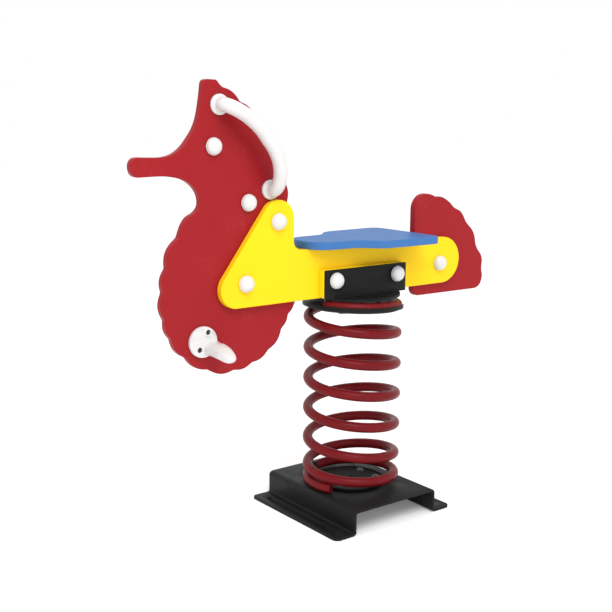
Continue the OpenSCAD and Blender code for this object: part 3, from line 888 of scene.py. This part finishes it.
def build_peg():
    """Near-side foot peg: flange with a sloping relief in its upper lobe, and a tapering tread that grows out of the lower one."""
    y0 = YB + 8.0
    fl = plate("peg", resample(flange(), 1.2), -y0, -YB, (), r=0.6, r_lo=2.6, seg=5)
    # tread: sections along -Y, wide at the root and thinning to a rounded toe
    secs = []
    for t, cx, cz, hx, hz in ((-7.4, -344.5, 376.5, 19.6, 13.6), (0, -344.5, 376.5, 19.2, 13.3), (4, -344.8, 376.5, 18.0, 12.7),
                              (14, -345.5, 376.2, 17.2, 12.4), (26, -346.3, 376.8, 16.6, 13.4), (36, -347, 376.2, 16, 13.2),
                              (48, -347.6, 374.8, 15.2, 12.3), (58, -348.1, 372.5, 13.8, 10.8), (66, -348.5, 370.5, 11.8, 8.6),
                              (71, -348.5, 370, 8.8, 6.2), (73.2, -348.5, 370, 5.2, 3.6), (73.9, -348.5, 370, 2.4, 1.6)):
        secs.append((t, cx, cz + ZR, hx, hz))
    V, F = [], []
    m = 40
    for t, cx, cz, hx, hz in secs:
        for i in range(m):
            a = 2 * math.pi * i / m
            ex = 2 / 2.4
            V.append((cx + hx * math.copysign(abs(math.cos(a)) ** ex, math.cos(a)), -y0 - t, cz + hz * math.copysign(abs(math.sin(a)) ** ex, math.sin(a))))
    for k in range(len(secs) - 1):
        for i in range(m):
            j = (i + 1) % m
            F.append([k * m + i, (k + 1) * m + i, (k + 1) * m + j, k * m + j])
    F.append(list(range(m)))
    F.append([(len(secs) - 1) * m + i for i in range(m)][::-1])
    tread = add_mesh("tread", V, F)
    bm = bmesh.new()
    bm.from_mesh(tread.data)
    bmesh.ops.recalc_face_normals(bm, faces=bm.faces[:])
    bm.to_mesh(tread.data)
    bm.free()
    boolean(fl, tread, "UNION")
    # relief in the upper lobe: deepest at the ledge above the tread, running out towards the top
    rim = [q for q in flange(2.6)]
    ax = np.array([FOOT[0][0] - FOOT[1][0], FOOT[0][1] - FOOT[1][1]])
    ax = ax / np.linalg.norm(ax)
    ledge = 389.5 + ZR
    poly = [np.array(q) for q in rim if q[1] > ledge]
    poly = [q for q in ccw(np.array(poly))]
    P = np.array(poly)
    n = len(P)
    top = P[:, 1].max()
    V, F = [], []
    for q in P:
        V.append((q[0], -y0 - 2, q[1]))
    for q in P:
        t = q[1] - ledge
        d = 5.4 * t / 8.0 if t < 8.0 else 5.4 * (top - q[1]) / (top - ledge - 8.0)
        V.append((q[0], -y0 + 0.15 + max(0.0, d), q[1]))
    F = [[i, (i + 1) % n, n + (i + 1) % n, n + i] for i in range(n)] + [list(range(n))[::-1]]
    bm = bmesh.new()
    vs = [bm.verts.new(v) for v in V]
    for f in F:
        bm.faces.new([vs[i] for i in f])
    back = [bm.edges.get((vs[n + i], vs[n + (i + 1) % n])) for i in range(n)]
    bmesh.ops.triangle_fill(bm, use_beauty=True, edges=back)
    bmesh.ops.recalc_face_normals(bm, faces=bm.faces[:])
    me = bpy.data.meshes.new("relief")
    bmesh.ops.scale(bm, vec=(MM, MM, MM), verts=bm.verts[:])
    bm.to_mesh(me)
    bm.free()
    cutter = new_obj("relief", me)
    boss = revolve("boss", [(0, -30), (8.2, -30), (8.2, 30), (0, 30)], 40, (FOOT[0][0], -y0, FOOT[0][1]), (0, 1, 0))
    boolean(cutter, boss, "DIFFERENCE")
    boolean(fl, cutter, "DIFFERENCE")
    r = fl.modifiers.new("r", "REMESH")
    r.mode = "VOXEL"
    r.voxel_size = 0.00062
    s = fl.modifiers.new("s", "SMOOTH")
    s.factor = 0.5
    s.iterations = 7
    d = fl.modifiers.new("d", "DECIMATE")
    d.ratio = 0.35
    apply_mods(fl)
    for f in FOOT:
        c = revolve("bore", [(0, -25), (5.6, -25), (5.0, -0.0), (5.0, 5.5), (3.5, 5.5), (3.5, 12), (0, 12)], 40, (f[0], -y0, f[1]), (0, 1, 0))
        boolean(fl, c, "DIFFERENCE")
    set_sharp(fl.data, 42)
    return fl


peg = build_peg()
peg.name = "foot_peg_near"
far_me = peg.data.copy()
far_me.name = "foot_peg_far"
peg_far = new_obj("foot_peg_far", far_me)
bm = bmesh.new()
bm.from_mesh(far_me)
bmesh.ops.scale(bm, vec=(1, -1, 1), verts=bm.verts[:])
bmesh.ops.reverse_faces(bm, faces=bm.faces[:])
bm.to_mesh(far_me)
bm.free()
finish(peg, M_WHITE, "white_plastic", "rider", "footrest_near")
finish(peg_far, M_WHITE, "white_plastic", "rider", "footrest_far")


# ---------------------------------------------------------------- CAD pieces that stay as they are
for n, mt in (("core_block", M_YEL), ("seat_angles", M_ZINC), ("seat_screws", M_ZINC), ("handle_rods", M_ZINC),
              ("footrest_bolts", M_BLACKSTEEL), ("panel_bolts", M_ZINC), ("panel_nuts", M_ZINC)):
    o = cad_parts[n]
    o.data.materials.clear()
    o.data.materials.append(mt)


# ---------------------------------------------------------------- stage, light, camera
floor_me = bpy.data.meshes.new("floor")
bm = bmesh.new()
bmesh.ops.create_grid(bm, x_segments=1, y_segments=1, size=14.0)
bm.to_mesh(floor_me)
bm.free()
floor = new_obj("floor", floor_me)
fm = bpy.data.materials.new("pale_floor")
k = Nodes(fm)
k.b.inputs["Emission Color"].default_value = (1.0, 1.0, 1.0, 1.0)
k.b.inputs["Emission Strength"].default_value = 0.12
k.link(k.mix(k.ramp(k.noise(0.8, 3), 0.3, 0.7), (0.93, 0.93, 0.93), (0.95, 0.95, 0.95)), k.b.inputs["Base Color"])
k.b.inputs["Roughness"].default_value = 0.9
k.b.inputs["Specular IOR Level"].default_value = 0.1
floor_me.materials.append(fm)

world = bpy.data.worlds.new("studio")
scene.world = world
world.use_nodes = True
world.node_tree.nodes["Background"].inputs["Color"].default_value = (1.0, 1.0, 1.0, 1.0)
world.node_tree.nodes["Background"].inputs["Strength"].default_value = 1.0


def area(name, at, target, size, power, colour=(1, 1, 1)):
    li = bpy.data.lights.new(name, "AREA")
    li.shape = "DISK"
    li.size = size
    li.energy = power
    li.color = colour
    o = bpy.data.objects.new(name, li)
    COL.objects.link(o)
    o.location = at
    o.rotation_euler = (Vector(target) - Vector(at)).to_track_quat("-Z", "Y").to_euler()
    return o


KEY = Vector((-0.25, -0.62, 0.74)).normalized()
area("key", Vector((-0.05, 0, 0.45)) + KEY * 3.2, (-0.05, 0, 0.45), 2.0, 56.0)

cam_data = bpy.data.cameras.new("camera")
cam = bpy.data.objects.new("camera", cam_data)
COL.objects.link(cam)
scene.camera = cam
cam_data.sensor_fit = "HORIZONTAL"
cam_data.sensor_width = 36.0
cam_data.lens = 1020.65 / 612 * 36.0
a, p, rl = math.radians(-37.271), math.radians(10.648), math.radians(0.38)
fwd = Vector((-math.sin(a) * math.cos(p), math.cos(a) * math.cos(p), -math.sin(p)))
right0 = Vector((math.cos(a), math.sin(a), 0))
up0 = right0.cross(fwd)
R = math.cos(rl) * right0 + math.sin(rl) * up0
U = -math.sin(rl) * right0 + math.cos(rl) * up0
rot = Matrix((R, U, -fwd)).transposed()
cam.matrix_world = Matrix.Translation((-1.30797, -1.56199, 0.80209)) @ rot.to_4x4()
cam_data.clip_end = 100
